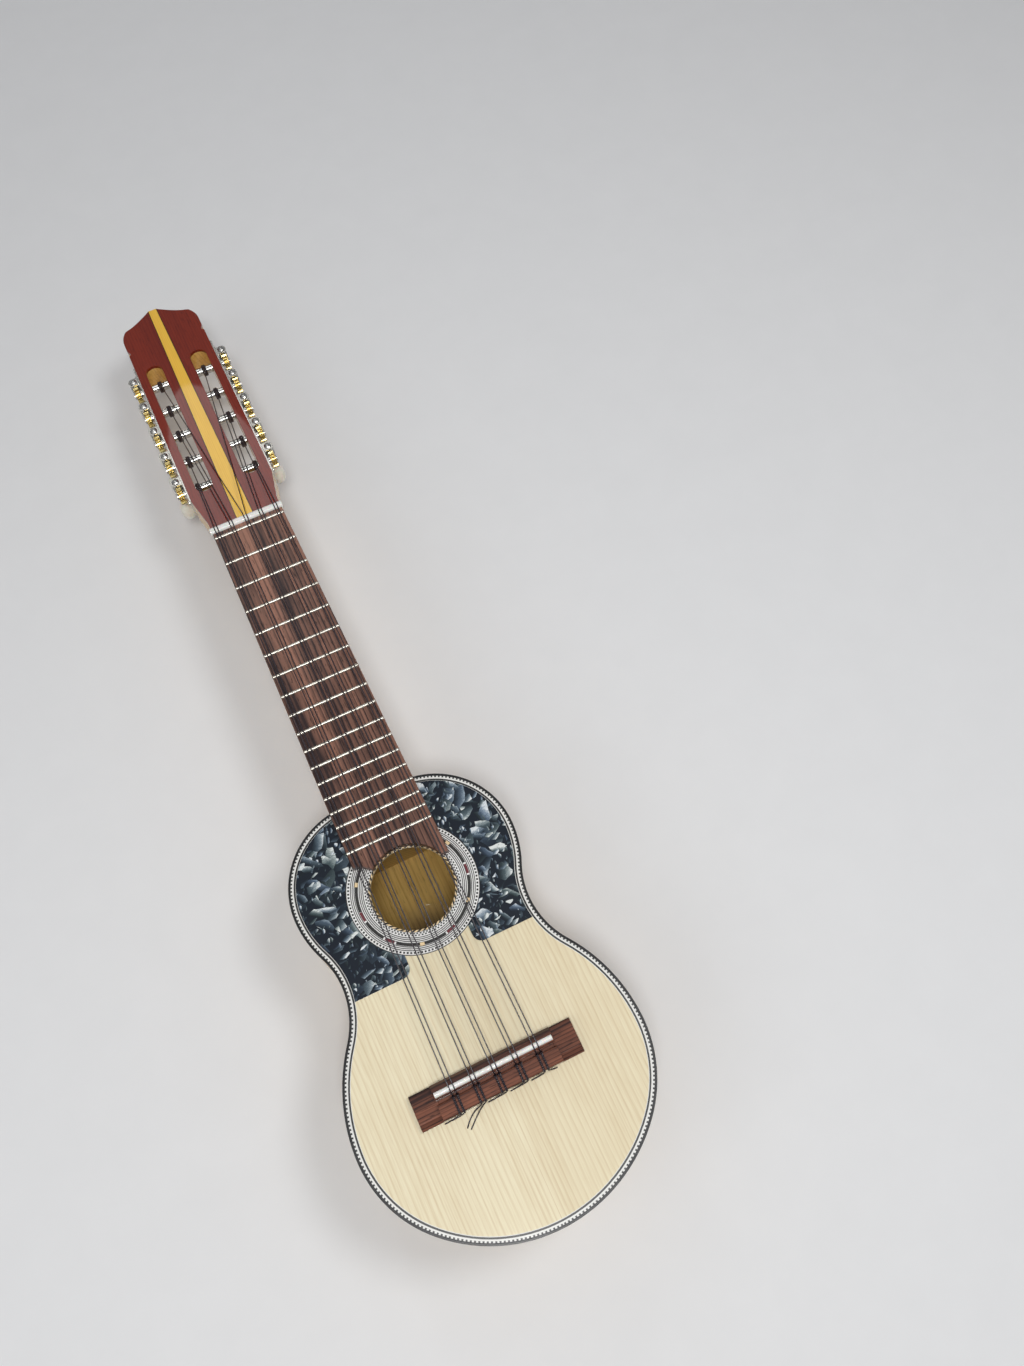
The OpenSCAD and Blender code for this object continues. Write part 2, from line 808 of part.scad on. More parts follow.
module gear_profile() {
    half = 360 / gear_teeth / 4;
    slack = flank_gap / gear_r * 180 / PI;
    tip_half = half * 0.5 - slack;
    polygon([for (i = [0:gear_teeth - 1])
        let (a = i * 360 / gear_teeth)
        for (p = [[gear_r - tooth_in, -half * 1.45], [gear_r, -half + slack],
                  [gear_r + tooth_out, -tip_half], [gear_r + tooth_out, tip_half],
                  [gear_r, half - slack], [gear_r - tooth_in, half * 1.45]])
            polar(p[0], a + p[1])]);
}

// The teeth lean by the worm's lead, so that they lie along its thread
module gear() {
    lean = gear_t * tan(worm_lead) / gear_r * 180 / PI;
    square_hw = drive_hw + fit_gap;
    difference() {
        translate([gear_x - gear_t / 2, 0, 0]) rotate([0, 90, 0])
            rotate([0, 0, gear_phase() - lean / 2])
                linear_extrude(gear_t, twist = -lean, slices = 2) gear_profile();
        translate([gear_x - gear_t, -square_hw, -square_hw])
            cube([2 * gear_t, 2 * square_hw, 2 * square_hw]);
    }
}

// String roller with its gear, the gear's screw and the string wound on it
module roller(s, k) {
    gear_in = gear_x - gear_t / 2;
    gear_out = gear_x + gear_t / 2;
    winding_in = winding_x(k) - winding_hw;
    head_frame() on_side(s) translate([0, roller_y(k), roller_z]) {
        color("whitesmoke") difference() {
            union() {
                rod_x(web_x - pivot_l, web_x + 1, pivot_r);
                rod_x(web_x + 0.15, wall_x - 0.15, barrel_r);
                rod_x(wall_x - 1, gear_in - fit_gap, journal_r);
                translate([gear_in - 1, -drive_hw, -drive_hw])
                    cube([gear_t + 1, 2 * drive_hw, 2 * drive_hw]);
            }
            translate([winding_in - 1, 0, -4]) cylinder(h = 8, r = 0.6);
            rod_x(gear_in, gear_out + 1, gear_screw_r + fit_gap);
        }
        color("gold") gear();
        color("silver") {
            rod_x(gear_in + 0.2, gear_out + 0.5, gear_screw_r);
            rod_x(gear_out + fit_gap, gear_out + 1, 2.3);
        }
        color([0.1, 0.08, 0.1]) difference() {
            rod_x(winding_in, winding_in + 2 * winding_hw, winding_r);
            rod_x(winding_in - 1, winding_in + 2 * winding_hw + 1, barrel_r + fit_gap);
        }
    }
}

// One thread of the worm: a trapezium carried round and along the shaft
module thread() {
    half = worm_pitch / 4 - flank_gap;
    core = worm_r - tooth_in + 0.02;
    section = [[core, -half * 1.5], [worm_r + tooth_out, -half * 0.62],
               [worm_r + tooth_out, half * 0.62], [core, half * 1.5]];
    n = worm_turns * WORM_STEPS;
    points = [for (i = [0:n])
        let (a = i * 360 / WORM_STEPS, rise = (i / n - 0.5) * worm_turns * worm_pitch)
        for (p = section) [p[0] * cos(a), p[0] * sin(a), p[1] + rise]];
    walls = [for (i = [0:n - 1], k = [0:3])
        let (a = i * 4 + k, b = i * 4 + (k + 1) % 4)
        for (tri = [[a, b + 4, a + 4], [a, b, b + 4]]) tri];
    ends = [[0, 2, 1], [0, 3, 2], [n * 4, n * 4 + 1, n * 4 + 2], [n * 4, n * 4 + 2, n * 4 + 3]];
    polyhedron(points = points, faces = concat(walls, ends));
}

module worm(s, k) {
    core = worm_r - tooth_in + 0.1;
    color("silver") head_frame() on_side(s)
        translate([gear_x, roller_y(k) + worm_dy, roller_z]) {
            rotate([0, 0, 90]) thread();
            translate([0, 0, -4.6]) cylinder(h = 9.1, r = core);
            translate([0, 0, shaft_low - roller_z]) cylinder(h = shaft_high - shaft_low, r = shaft_r);
        }
}

module button(s, k) {
    neck_r = 2.6;
    color("ivory") head_frame() on_side(s)
        translate([gear_x, roller_y(k) + worm_dy, button_top - button_l]) difference() {
            rotate_extrude() intersection() {
                union() {
                    translate([button_r - 9, button_l * 0.42]) circle(r = 9);
                    translate([0, 0]) square([neck_r, button_l]);
                }
                square([button_r, button_l]);
            }
            translate([0, 0, button_l - 12]) cylinder(h = 13, r = shaft_r);
        }
}

placed() soundboard();
placed() back();
placed() rib(-1);  // rib_bass
placed() rib(1);  // rib_treble
placed() linings();
placed() top_braces();
placed() back_braces();
placed() neck_block();
placed() tail_block();
placed() bridge_patch();
placed() binding();
placed() purfling();
placed() rosette();
placed() pickguard(-1);  // pickguard_bass
placed() pickguard(1);  // pickguard_treble
placed() neck();
placed() head_face();
placed() head_strip();
placed() head_strip_lines();
placed() fingerboard();
placed() frets();
placed() nut();
placed() bridge();
placed() saddle();
placed() strings();
placed() tuner_plate(-1);  // tuner_plate_bass
placed() tuner_plate(1);  // tuner_plate_treble
placed() plate_screws();
for (t = TUNERS) {
    placed() worm(t[1], t[2]);
    placed() button(t[1], t[2]);
    placed() roller(t[1], t[2]);
}
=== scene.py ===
"""Looks for the charango: materials, strings, inlays and light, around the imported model."""

import json
import math

import bmesh
import bpy
from mathutils import Matrix, Vector


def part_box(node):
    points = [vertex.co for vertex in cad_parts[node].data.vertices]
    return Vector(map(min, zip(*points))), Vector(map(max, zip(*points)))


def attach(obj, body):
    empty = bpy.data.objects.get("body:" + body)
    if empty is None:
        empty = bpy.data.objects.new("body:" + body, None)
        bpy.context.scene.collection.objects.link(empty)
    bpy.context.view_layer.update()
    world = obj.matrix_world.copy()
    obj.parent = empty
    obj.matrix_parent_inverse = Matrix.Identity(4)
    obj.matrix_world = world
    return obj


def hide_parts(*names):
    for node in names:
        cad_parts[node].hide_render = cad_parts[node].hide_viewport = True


MM = 0.001
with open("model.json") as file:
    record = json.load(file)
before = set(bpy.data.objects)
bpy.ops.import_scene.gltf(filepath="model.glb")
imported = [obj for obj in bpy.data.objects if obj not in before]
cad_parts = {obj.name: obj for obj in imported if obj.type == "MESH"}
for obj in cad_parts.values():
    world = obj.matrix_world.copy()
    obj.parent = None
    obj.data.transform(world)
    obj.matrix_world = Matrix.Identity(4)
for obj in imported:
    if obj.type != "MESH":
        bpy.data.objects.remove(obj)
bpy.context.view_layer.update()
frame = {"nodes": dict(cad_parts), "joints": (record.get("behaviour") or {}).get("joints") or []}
NODES = frame["nodes"]
ROOT = "instrument"
TUNERS = [f"{side}_{number}" for side in ("bass", "treble") for number in range(1, 6)]

# Reference places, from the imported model. The strings cross the saddle at the bridge line.
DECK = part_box("soundboard")[1].z
LINE_INSET = 1.8 * MM
LINE_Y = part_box("bridge")[1].y - LINE_INSET
ROSETTE_LOW, ROSETTE_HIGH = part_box("rosette")
HOLE_Y = (ROSETTE_LOW.y + ROSETTE_HIGH.y) / 2


def from_line(x, y, h):
    """A point from x, from y ahead of the bridge line and from h over the deck, in mm."""
    return Vector((x * MM, LINE_Y + y * MM, DECK + h * MM))


# ---- node graph helpers ----


class Graph:
    """Shorthand for building one material's nodes."""

    def __init__(self, name):
        self.material = bpy.data.materials.new(name)
        self.material.use_nodes = True
        self.tree = self.material.node_tree
        self.tree.nodes.clear()
        out = self.tree.nodes.new("ShaderNodeOutputMaterial")
        self.bsdf = self.tree.nodes.new("ShaderNodeBsdfPrincipled")
        self.link(self.bsdf.outputs[0], out.inputs["Surface"])

    def link(self, a, b):
        self.tree.links.new(a, b)

    def put(self, socket, value):
        """A value on a socket: another node's output, a number or a colour."""
        if isinstance(value, bpy.types.NodeSocket):
            self.link(value, socket)
        elif isinstance(value, (tuple, list)) and len(value) == 3 and socket.type == "RGBA":
            socket.default_value = (*value, 1)
        else:
            socket.default_value = value

    def node(self, kind, inputs=None, **settings):
        n = self.tree.nodes.new(kind)
        for key, value in settings.items():
            setattr(n, key, value)
        for key, value in (inputs or {}).items():
            self.put(n.inputs[key], value)
        return n

    def set(self, **values):
        """Constants on the shader's own sockets, and links where a node drives one."""
        for key, value in values.items():
            self.put(self.bsdf.inputs[key.replace("_", " ")], value)

    def math(self, operation, a, b=0.0, c=0.0, clamp=False):
        n = self.node("ShaderNodeMath", {0: a, 1: b, 2: c}, operation=operation, use_clamp=clamp)
        return n.outputs[0]

    def coords(self):
        return self.node("ShaderNodeTexCoord").outputs["Object"]

    def uv(self):
        return self.node("ShaderNodeTexCoord").outputs["UV"]

    def split(self, vector):
        return self.node("ShaderNodeSeparateXYZ", {0: vector}).outputs

    def join(self, x, y, z):
        return self.node("ShaderNodeCombineXYZ", {0: x, 1: y, 2: z}).outputs[0]

    def scaled(self, vector, x, y, z):
        return self.node(
            "ShaderNodeVectorMath", {0: vector, 1: (x, y, z)}, operation="MULTIPLY"
        ).outputs[0]

    def noise(self, vector, scale, detail=2.0, roughness=0.5, distortion=0.0):
        return self.node(
            "ShaderNodeTexNoise",
            {
                "Vector": vector,
                "Scale": scale,
                "Detail": detail,
                "Roughness": roughness,
                "Distortion": distortion,
            },
        )

    def ramp(self, factor, stops, interpolation="LINEAR"):
        n = self.node("ShaderNodeValToRGB", {0: factor})
        r = n.color_ramp
        r.interpolation = interpolation
        while len(r.elements) < len(stops):
            r.elements.new(0.5)
        for element, (place, colour) in zip(r.elements, stops):
            element.position = place
            element.color = (*colour, 1) if isinstance(colour, tuple) else (colour,) * 3 + (1,)
        return n.outputs[0]

    def mix(self, factor, a, b, blend="MIX"):
        n = self.node("ShaderNodeMix", data_type="RGBA", blend_type=blend)
        self.put(n.inputs[0], factor)
        self.put(n.inputs[6], a)
        self.put(n.inputs[7], b)
        return n.outputs[2]

    def between(self, value, low, high):
        """1 where value lies between low and high, else 0."""
        return self.math(
            "MULTIPLY", self.math("GREATER_THAN", value, low), self.math("LESS_THAN", value, high)
        )

    def bump(self, height, strength, distance=0.1 * MM, edge=0.0):
        """Surface relief from a height, over edges that are rounded by the given radius."""
        n = self.node(
            "ShaderNodeBump", {"Height": height, "Strength": strength, "Distance": distance}
        )
        if edge:
            rounded = self.node("ShaderNodeBevel", {"Radius": edge}, samples=4)
            self.link(rounded.outputs[0], n.inputs["Normal"])
        return n.outputs[0]


# ---- materials ----


def wood(name, light, dark, pitch, line=0.5, streak=0.35, mirror_x=False, rough=0.42,
         coat=0.0, coat_rough=0.06, pores=0.0, bump=0.12, along="Y", turn=0.0, edge=0.0,
         joint=0.0):
    """Straight-grained wood: growth lines, broad streaks, short pores and a clear coat.

    Along is the grain's direction, or RIM for a bent rib. Joint draws the seam of a plate made of
    two halves and darkens one of them. Edge is the radius of its softened edges.
    """
    g = Graph(name)
    place = g.coords()
    if turn:
        place = g.node("ShaderNodeVectorRotate", {"Vector": place, "Angle": turn},
                       rotation_type="X_AXIS").outputs[0]
    x, y, z = g.split(place)
    across = g.math("ABSOLUTE", x) if mirror_x else x
    length, depth = y, z
    if along == "X":
        across, length = y, x
    elif along == "RIM":
        across, length, depth = z, g.math("ADD", x, y), g.math("MULTIPLY", y, 0.02)
    stretched = g.join(across, g.math("MULTIPLY", length, 0.045), g.math("MULTIPLY", depth, 0.6))
    wander = g.noise(stretched, 34.0, 2.0, 0.5).outputs[0]
    u = g.math("MULTIPLY_ADD", g.math("ADD", across, g.math("MULTIPLY", depth, 0.35)), 1 / pitch,
               g.math("MULTIPLY", wander, 5.0))
    ring = g.math("FRACT", u)
    lines = g.ramp(ring, [(0.0, 0.0), (0.55, 0.18), (0.86, 1.0), (1.0, 0.05)])
    fibre = g.noise(stretched, 900.0, 3.0, 0.65).outputs[0]
    broad = g.noise(stretched, 70.0, 3.0, 0.6, 0.6).outputs[0]
    amount = g.math("MULTIPLY", lines, line)
    amount = g.math("ADD", amount, g.math("MULTIPLY", g.math("SUBTRACT", fibre, 0.5), 0.9))
    streaks = g.math("MULTIPLY", g.math("SUBTRACT", broad, 0.42), 3.2 * streak)
    amount = g.math("ADD", amount, streaks, clamp=True)
    colour = g.mix(amount, light, dark)
    height = g.math("ADD", fibre, g.math("MULTIPLY", lines, 0.5))
    if pores:
        dashes = g.join(across, g.math("MULTIPLY", length, 0.09), depth)
        pore = g.noise(dashes, 1500.0, 2.0, 0.6).outputs[0]
        mask = g.ramp(pore, [(0.6, 0.0), (0.68, 1.0)])
        colour = g.mix(g.math("MULTIPLY", mask, pores), colour,
                       tuple(c * 0.28 for c in dark))
        height = g.math("SUBTRACT", height, g.math("MULTIPLY", mask, 1.2))
    patchy = g.noise(place, 18.0, 3.0, 0.6).outputs[0]
    if joint:
        tone = g.math("MULTIPLY", g.math("MULTIPLY", x, 400.0, clamp=True), joint)
        seam = g.math("MULTIPLY", g.math("LESS_THAN", across, 0.16 * MM), 2.5 * joint)
        colour = g.mix(g.math("ADD", tone, seam), colour, dark)
    g.set(Base_Color=colour,
          Roughness=g.math("MULTIPLY_ADD", patchy, 0.16, rough - 0.08),
          Normal=g.bump(height, bump, edge=edge))
    g.set(Specular_IOR_Level=0.15 if coat else 0.4, Coat_Weight=coat, Coat_Roughness=coat_rough,
          IOR=1.5)
    return g.material


def metal(name, colour, tint, rough, scratch=0.06, dull=0.12, edge=0.25 * MM):
    """Plated metal with fine wear, fingerprints and duller patches."""
    g = Graph(name)
    place = g.coords()
    patch = g.noise(place, 160.0, 4.0, 0.65).outputs[0]
    fine = g.noise(g.scaled(place, 1, 1, 5), 2600.0, 2.0, 0.6).outputs[0]
    g.set(Base_Color=g.mix(g.ramp(patch, [(0.35, 0.0), (0.7, 1.0)]), colour, tint),
          Metallic=1.0,
          Roughness=g.math("MULTIPLY_ADD", patch, dull, rough),
          Normal=g.bump(fine, scratch, 0.05 * MM, edge))
    return g.material


def plastic(name, colour, tint, rough, scale=220.0, coat=0.3, depth=0.05, subsurface=0.0,
            edge=0.0):
    """Moulded or cast material with soft colour drift and a faint orange-peel surface."""
    g = Graph(name)
    place = g.coords()
    drift = g.noise(place, scale, 4.0, 0.6, 0.4).outputs[0]
    peel = g.noise(place, scale * 7, 2.0, 0.5).outputs[0]
    g.set(Base_Color=g.mix(g.ramp(drift, [(0.3, 0.0), (0.7, 1.0)]), colour, tint),
          Roughness=g.math("MULTIPLY_ADD", drift, 0.12, rough),
          Normal=g.bump(peel, depth, 0.05 * MM, edge))
    g.set(Coat_Weight=coat, Coat_Roughness=0.08, Subsurface_Weight=subsurface,
          Subsurface_Scale=2 * MM)
    return g.material


def pearloid(name):
    """Dark celluloid full of overlapping angular flakes, each with its own slope of light."""
    g = Graph(name)
    place = g.coords()
    warp = g.noise(place, 55.0, 2.0, 0.5)
    shift = g.node("ShaderNodeVectorMath", {0: warp.outputs["Color"], 1: (0.5, 0.5, 0.5)},
                   operation="SUBTRACT").outputs[0]
    bent = g.node("ShaderNodeVectorMath", {0: g.scaled(shift, 0.006, 0.006, 0.0), 1: place},
                  operation="ADD").outputs[0]
    shine, hue = 0.0, 0.0
    for scale, degrees, stretch, share in ((170.0, 35.0, 0.6, 0.36), (250.0, -50.0, 0.5, 0.34),
                                           (390.0, 80.0, 0.5, 0.30), (650.0, 10.0, 0.6, 0.2)):
        turned = g.node("ShaderNodeVectorRotate", {"Vector": bent, "Angle": math.radians(degrees)},
                        rotation_type="Z_AXIS").outputs[0]
        flat = g.scaled(turned, 1, stretch, 0.3)
        cells = g.node("ShaderNodeTexVoronoi", {"Vector": flat, "Scale": scale, "Randomness": 1.0},
                       feature="F1")
        offset = g.node("ShaderNodeVectorMath", {0: flat, 1: cells.outputs["Position"]},
                        operation="SUBTRACT").outputs[0]
        lean = g.node("ShaderNodeVectorMath", {0: cells.outputs["Color"], 1: (0.5, 0.5, 0.5)},
                      operation="SUBTRACT").outputs[0]
        slope = g.node("ShaderNodeVectorMath", {0: offset, 1: lean}, operation="DOT_PRODUCT")
        own, level, tone = g.split(cells.outputs["Color"])
        lit = g.math("MULTIPLY", g.math("SUBTRACT", own, 1 - share), 14.0, clamp=True)
        bright = g.math("MULTIPLY_ADD", slope.outputs["Value"], scale * 1.9,
                        g.math("MULTIPLY_ADD", g.math("POWER", level, 2.4), 0.72, 0.10))
        layer = g.math("MULTIPLY", lit, bright, clamp=True)
        hue = g.math("MULTIPLY_ADD", g.math("GREATER_THAN", layer, shine),
                     g.math("SUBTRACT", tone, hue), hue)
        shine = g.math("MAXIMUM", shine, layer)
    streaks = g.noise(g.scaled(bent, 1.0, 2.6, 1.0), 420.0, 3.0, 0.6, 1.5).outputs[0]
    shine = g.math("MULTIPLY", shine, g.math("MULTIPLY_ADD", streaks, 1.0, 0.5), clamp=True)
    blue = g.ramp(shine, [(0.0, (0.010, 0.015, 0.024)), (0.22, (0.026, 0.040, 0.062)),
                          (0.48, (0.080, 0.115, 0.165)), (0.76, (0.26, 0.33, 0.41)),
                          (1.0, (0.74, 0.78, 0.80))])
    green = g.ramp(shine, [(0.0, (0.009, 0.014, 0.018)), (0.22, (0.027, 0.040, 0.044)),
                           (0.48, (0.085, 0.118, 0.122)), (0.76, (0.32, 0.37, 0.36)),
                           (1.0, (0.78, 0.81, 0.78))])
    g.set(Base_Color=g.mix(hue, blue, green),
          Roughness=g.math("MULTIPLY_ADD", shine, -0.12, 0.32),
          Normal=g.bump(shine, 0.05, 0.05 * MM, 0.2 * MM))
    g.set(Specular_IOR_Level=0.2, Coat_Weight=0.6, Coat_Roughness=0.05, IOR=1.5)
    return g.material


def rosette_material():
    """Concentric inlays: rope, dotted rows, fine lines, a dark ring broken by coloured marks."""
    g = Graph("rosette_rings")
    x, y, _ = g.split(g.coords())
    dy = g.math("SUBTRACT", y, HOLE_Y)
    radius = g.math("MULTIPLY", g.math("SQRT", g.math("ADD", g.math("MULTIPLY", x, x),
                                                     g.math("MULTIPLY", dy, dy))), 1000.0)
    angle = g.math("ARCTAN2", dy, x)
    white, grey, black = (0.90, 0.89, 0.86), (0.030, 0.030, 0.032), (0.006, 0.006, 0.007)
    cream, maroon = (0.90, 0.68, 0.38), (0.15, 0.008, 0.02)
    rope_out, plain_out, border_in, border_out = 25.6, 28.1, 36.3, 38.3
    ring_in, ring_out, ring_middle = 32.0, 33.5, 32.8
    line_pitch, rope_count, dot_count, border_dot_count = 1.02, 48, 89, 115

    def beads(row, count, share, half, shift=0.0):
        """Short dark marks along one ring."""
        turn = g.math("FRACT", g.math("MULTIPLY_ADD", angle, count / (2 * math.pi), shift + 50.0))
        return g.math("MULTIPLY", g.math("LESS_THAN", turn, share),
                      g.between(radius, row - half, row + half))

    lines = g.math("FRACT", g.math("MULTIPLY", radius, 1 / line_pitch))
    colour = g.mix(g.math("LESS_THAN", lines, 0.5), white, grey)
    plain = g.math("ADD", g.math("LESS_THAN", radius, plain_out),
                   g.between(radius, border_in, border_out))
    colour = g.mix(plain, colour, white)
    rope_turn = g.math("FRACT", g.math("MULTIPLY_ADD", angle, rope_count / (2 * math.pi),
                                       g.math("MULTIPLY_ADD", radius, 0.45, 40.0)))
    rope = g.mix(g.math("LESS_THAN", rope_turn, 0.5), cream, black)
    colour = g.mix(g.math("LESS_THAN", radius, rope_out), colour, rope)
    dots = g.math("MAXIMUM", beads(26.4, dot_count, 0.55, 0.4),
                  beads(27.5, dot_count, 0.55, 0.4, 0.5))
    dots = g.math("MAXIMUM", dots, beads(37.25, border_dot_count, 0.55, 0.55))
    dots = g.math("MAXIMUM", dots, g.math("GREATER_THAN", radius, border_out))
    dots = g.math("MAXIMUM", dots, g.between(radius, rope_out, 25.8))
    colour = g.mix(dots, colour, black)
    ring = g.between(radius, ring_in, ring_out)
    colour = g.mix(ring, colour, black)
    marks = [("cream", 28.3), ("maroon", -5.5), ("cream", -38.2), ("maroon", -71.8),
             ("cream", -104.2), ("maroon", -137.2), ("maroon", -174.7), ("cream", 151.5)]
    for kind, degrees in marks:
        away = g.math("ABSOLUTE", g.math("SUBTRACT", angle, math.radians(degrees)))
        wide = g.math("MULTIPLY", away, ring_middle)
        if kind == "cream":
            colour = g.mix(g.math("MULTIPLY", g.between(radius, ring_in - 0.1, ring_out + 0.2),
                                  g.math("LESS_THAN", wide, 1.3)), colour, cream)
        else:
            colour = g.mix(g.math("MULTIPLY", ring, g.math("LESS_THAN", wide, 3.9)), colour, white)
            colour = g.mix(g.math("MULTIPLY", ring, g.math("LESS_THAN", wide, 2.9)), colour, maroon)
    drift = g.noise(g.coords(), 300.0, 3.0, 0.6).outputs[0]
    colour = g.mix(g.math("MULTIPLY", drift, 0.12), colour, (0.35, 0.32, 0.27))
    g.set(Base_Color=colour, Roughness=g.math("MULTIPLY_ADD", drift, 0.1, 0.3),
          Normal=g.bump(drift, 0.05, 0.05 * MM))
    g.set(Coat_Weight=0.5, Coat_Roughness=0.06)
    return g.material


def purfling_material(width):
    """Edge inlay read from the strip's own map: lines across, teeth along the outer part."""
    g = Graph("purfling_lines")
    along, across, _ = g.split(g.uv())
    depth = g.math("MULTIPLY", across, width * 1000)
    white, black = (0.82, 0.81, 0.77), (0.010, 0.010, 0.011)
    tooth_pitch, tooth_share, tooth_depth, rim_line = 2.2, 0.48, 0.95, 0.12
    dark_line = (1.85, 2.85)
    teeth = g.math("FRACT", g.math("MULTIPLY", along, 1 / tooth_pitch))
    tooth = g.math("MULTIPLY", g.math("LESS_THAN", teeth, tooth_share),
                   g.math("LESS_THAN", depth, tooth_depth))
    dark = g.math("MAXIMUM", tooth, g.between(depth, *dark_line))
    dark = g.math("MAXIMUM", dark, g.math("LESS_THAN", depth, rim_line))
    drift = g.noise(g.coords(), 260.0, 3.0, 0.6).outputs[0]
    colour = g.mix(g.math("MULTIPLY", drift, 0.1), g.mix(dark, white, black), (0.3, 0.28, 0.24))
    g.set(Base_Color=colour, Roughness=g.math("MULTIPLY_ADD", drift, 0.1, 0.3),
          Normal=g.bump(drift, 0.05, 0.05 * MM))
    g.set(Coat_Weight=0.5, Coat_Roughness=0.06)
    return g.material


HEAD_LEAN = math.radians(6)
SPRUCE = wood("spruce_top", (0.88, 0.79, 0.56), (0.60, 0.44, 0.24), 2.9 * MM, line=0.34,
              streak=0.16, mirror_x=True, rough=0.4, coat=0.55, coat_rough=0.07, bump=0.05,
              joint=0.12)
BACK_WOOD = wood("golden_back", (0.70, 0.47, 0.15), (0.42, 0.24, 0.06), 3.4 * MM, line=0.5,
                 streak=0.4, mirror_x=True, rough=0.38, coat=0.6, pores=0.35, bump=0.06)
RIB_WOOD = wood("golden_rib", (0.62, 0.39, 0.12), (0.33, 0.17, 0.045), 5.0 * MM, line=0.4,
                streak=0.5, rough=0.38, coat=0.6, pores=0.35, bump=0.06, along="RIM",
                edge=0.4 * MM)
LINING_WOOD = wood("bare_cedar", (0.60, 0.42, 0.22), (0.38, 0.22, 0.09), 1.8 * MM, rough=0.7)
BLOCK_WOOD = wood("golden_block", (0.64, 0.44, 0.15), (0.42, 0.25, 0.07), 2.0 * MM, rough=0.72)
BRACE_WOOD = wood("bare_spruce", (0.72, 0.58, 0.34), (0.50, 0.33, 0.15), 1.5 * MM, rough=0.7)
NECK_WOOD = wood("golden_cedar", (0.76, 0.46, 0.13), (0.46, 0.23, 0.055), 2.6 * MM, line=0.4,
                 streak=0.4, rough=0.36, coat=0.6, pores=0.4, bump=0.06, edge=0.8 * MM)
HEAD_WOOD = wood("red_mahogany", (0.22, 0.020, 0.006), (0.11, 0.007, 0.003), 2.2 * MM, line=0.4,
                 streak=0.35, rough=0.3, coat=0.75, coat_rough=0.03, pores=0.4, bump=0.02,
                 turn=HEAD_LEAN, edge=0.5 * MM)
STRIP_WOOD = wood("yellow_strip", (0.96, 0.58, 0.07), (0.74, 0.38, 0.04), 1.2 * MM, line=0.3,
                  streak=0.2, rough=0.32, coat=0.7, coat_rough=0.03, bump=0.02, turn=HEAD_LEAN,
                  edge=0.3 * MM)
LINE_WOOD = wood("dark_veneer", (0.03, 0.014, 0.008), (0.01, 0.006, 0.004), 1.0 * MM, coat=0.7)
BOARD_WOOD = wood("striped_rosewood", (0.36, 0.175, 0.120), (0.040, 0.025, 0.024), 3.1 * MM,
                  line=0.55, streak=1.25, rough=0.46, coat=0.2, coat_rough=0.15, pores=0.75,
                  bump=0.25, edge=0.3 * MM)
BRIDGE_WOOD = wood("gloss_rosewood", (0.27, 0.095, 0.052), (0.032, 0.011, 0.008), 2.4 * MM,
                   line=0.5, streak=1.2, rough=0.3, coat=0.8, coat_rough=0.04, pores=0.6,
                   bump=0.06, along="X", edge=0.6 * MM)
PEARL = pearloid("dark_pearloid")
BINDING = plastic("black_binding", (0.008, 0.008, 0.009), (0.016, 0.016, 0.017), 0.25, coat=0.2,
                  edge=0.6 * MM)
BONE = plastic("polished_bone", (0.90, 0.89, 0.85), (0.80, 0.78, 0.72), 0.3, 160.0,
               subsurface=0.1, edge=0.4 * MM)
BUTTON = plastic("pearly_button", (0.88, 0.85, 0.74), (0.74, 0.69, 0.56), 0.24, 240.0, coat=0.6,
                 subsurface=0.15)
NYLON = plastic("black_nylon", (0.018, 0.013, 0.018), (0.045, 0.034, 0.043), 0.3, 900.0)
NICKEL = metal("nickel_plate", (0.78, 0.76, 0.70), (0.50, 0.48, 0.44), 0.14)
STEEL = metal("polished_steel", (0.70, 0.69, 0.66), (0.48, 0.47, 0.44), 0.2)
BRASS = metal("brass_gear", (0.86, 0.72, 0.34), (0.66, 0.48, 0.17), 0.16)
ROLLER_METAL = metal("roller_metal", (0.74, 0.73, 0.69), (0.55, 0.54, 0.50), 0.16)
FRET_METAL = metal("fret_wire", (0.72, 0.68, 0.60), (0.60, 0.56, 0.48), 0.34, dull=0.08)
ROSETTE = rosette_material()

for node, material in {
    "soundboard": SPRUCE, "back": BACK_WOOD, "rib_bass": RIB_WOOD, "rib_treble": RIB_WOOD,
    "linings": LINING_WOOD, "top_braces": BRACE_WOOD, "back_braces": BRACE_WOOD,
    "neck_block": BLOCK_WOOD, "tail_block": BLOCK_WOOD, "bridge_patch": BRACE_WOOD,
    "binding": BINDING, "rosette": ROSETTE, "pickguard_bass": PEARL, "pickguard_treble": PEARL,
    "neck": NECK_WOOD, "head_face": HEAD_WOOD, "head_strip": STRIP_WOOD,
    "head_strip_lines": LINE_WOOD, "fingerboard": BOARD_WOOD, "frets": FRET_METAL, "nut": BONE,
    "bridge": BRIDGE_WOOD, "saddle": BONE, "strings": NYLON, "tuner_plate_bass": NICKEL,
    "tuner_plate_treble": NICKEL, "plate_screws": STEEL,
}.items():
    NODES[node].data.materials.clear()
    NODES[node].data.materials.append(material)
for name, obj in NODES.items():
    kind = name.split("_")[0]
    if kind in ("worm", "button", "roller"):
        obj.data.materials.clear()
        obj.data.materials.append({"worm": STEEL, "button": BUTTON, "roller": ROLLER_METAL}[kind])

# ---- pieces ----


